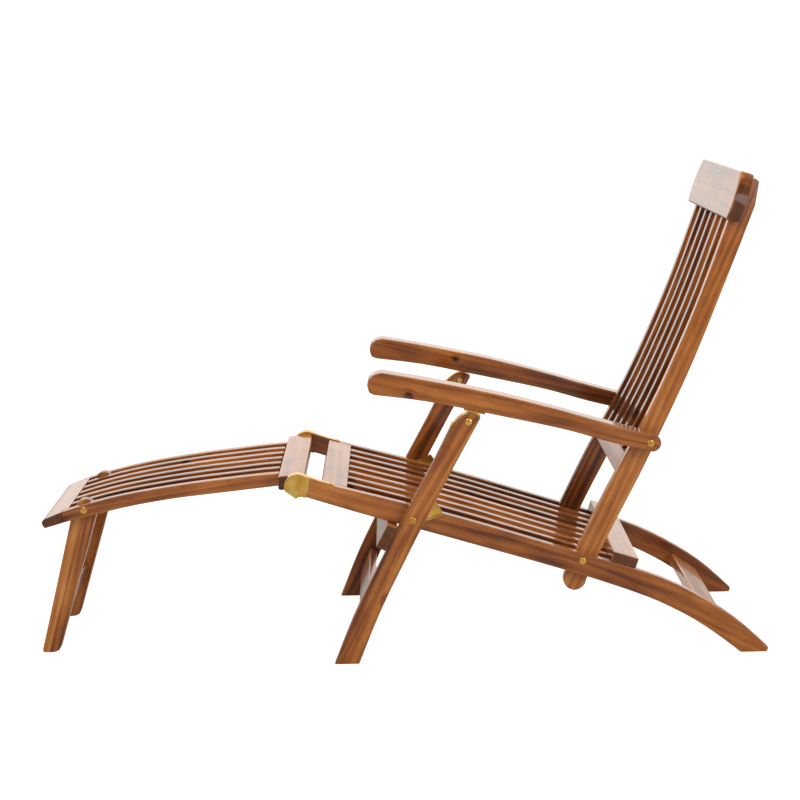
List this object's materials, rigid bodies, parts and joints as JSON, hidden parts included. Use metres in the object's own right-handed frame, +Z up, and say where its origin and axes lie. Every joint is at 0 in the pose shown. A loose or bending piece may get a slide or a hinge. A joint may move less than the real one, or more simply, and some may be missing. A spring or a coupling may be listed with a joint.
{
  "type": "steamer deck chair",
  "caption": "Folding slatted hardwood steamer deck chair with curved rails, armrests, a hinged footrest and brass fittings.",
  "frame": {"origin": "on the ground, at the middle of the bounding box's length and width", "axes": "+X towards the rear of the chair, +Y towards the sitter's right, +Z up"},
  "size_m": [1.548, 0.606, 1.0105],
  "materials": {
    "wood": "oiled and lacquered reddish-brown hardwood, glossy, long straight grain",
    "brass": "polished brass"
  },
  "bodies": {
    "seat": {"seat_rail_left": "wood", "seat_rail_right": "wood", "knee_cap_left": "brass", "knee_cap_right": "brass", "leg_pivot_plate_left": "brass", "leg_pivot_plate_right": "brass", "back_pivot_bolt_left": "brass", "back_pivot_bolt_right": "brass", "leg_pivot_bolt_left": "brass", "leg_pivot_bolt_right": "brass", "footrest_hinge_pin_left": "brass", "footrest_hinge_pin_right": "brass", "seat_front_board": "wood", "seat_slat_1": "wood", "seat_slat_2": "wood", "seat_slat_3": "wood", "seat_slat_4": "wood", "seat_slat_5": "wood", "seat_slat_6": "wood", "seat_slat_7": "wood", "seat_rear_board": "wood", "rear_stretcher": "wood"},
    "back": {"back_rail_left": "wood", "back_rail_right": "wood", "arm_pivot_bolt_left": "brass", "arm_pivot_bolt_right": "brass", "headboard": "wood", "back_lower_board": "wood", "back_slat_1": "wood", "back_slat_2": "wood", "back_slat_3": "wood", "back_slat_4": "wood", "back_slat_5": "wood"},
    "arms": {"arm_left": "wood", "arm_right": "wood", "arm_plate_left": "brass", "arm_plate_right": "brass"},
    "front_legs": {"front_leg_left": "wood", "front_leg_right": "wood", "leg_catch_left": "brass", "leg_catch_right": "brass", "catch_bolt_left": "brass", "catch_bolt_right": "brass", "upper_leg_stretcher": "wood", "lower_leg_stretcher": "wood"},
    "footrest": {"footrest_rail_left": "wood", "footrest_rail_right": "wood", "footrest_leg_bolt_left": "brass", "footrest_leg_bolt_right": "brass", "footrest_front_board": "wood", "footrest_rear_board": "wood", "footrest_slat_1": "wood", "footrest_slat_2": "wood", "footrest_slat_3": "wood", "footrest_slat_4": "wood", "footrest_slat_5": "wood"},
    "footrest_legs": {"footrest_leg_left": "wood", "footrest_leg_right": "wood", "footrest_leg_stretcher": "wood"}
  },
  "joints": [
    {"name": "back_fold", "type": "hinge", "parent": "seat", "child": "back", "pos_m": [0.383, 0, 0.203], "axis": [0, -1, 0], "range_deg": [0, 80]},
    {"name": "arm_swing", "type": "hinge", "parent": "back", "child": "arms", "pos_m": [0.522, 0, 0.456], "axis": [0, -1, 0], "range_deg": [-88, 0]},
    {"name": "leg_fold", "type": "hinge", "parent": "seat", "child": "front_legs", "pos_m": [0.028, 0, 0.303], "axis": [0, -1, 0], "range_deg": [0, 89.6]},
    {"name": "footrest_swing", "type": "hinge", "parent": "seat", "child": "footrest", "pos_m": [-0.216, 0, 0.376], "axis": [0, 1, 0], "range_deg": [-75, 60]},
    {"name": "footrest_leg_fold", "type": "hinge", "parent": "footrest", "child": "footrest_legs", "pos_m": [-0.668, 0, 0.316], "axis": [0, -1, 0], "range_deg": [0, 105]}
  ],
  "couplings": [
    {"joint": "arm_swing", "follows": "back_fold", "ratio": -1.1},
    {"joint": "leg_fold", "follows": "back_fold", "ratio": 1.12}
  ]
}
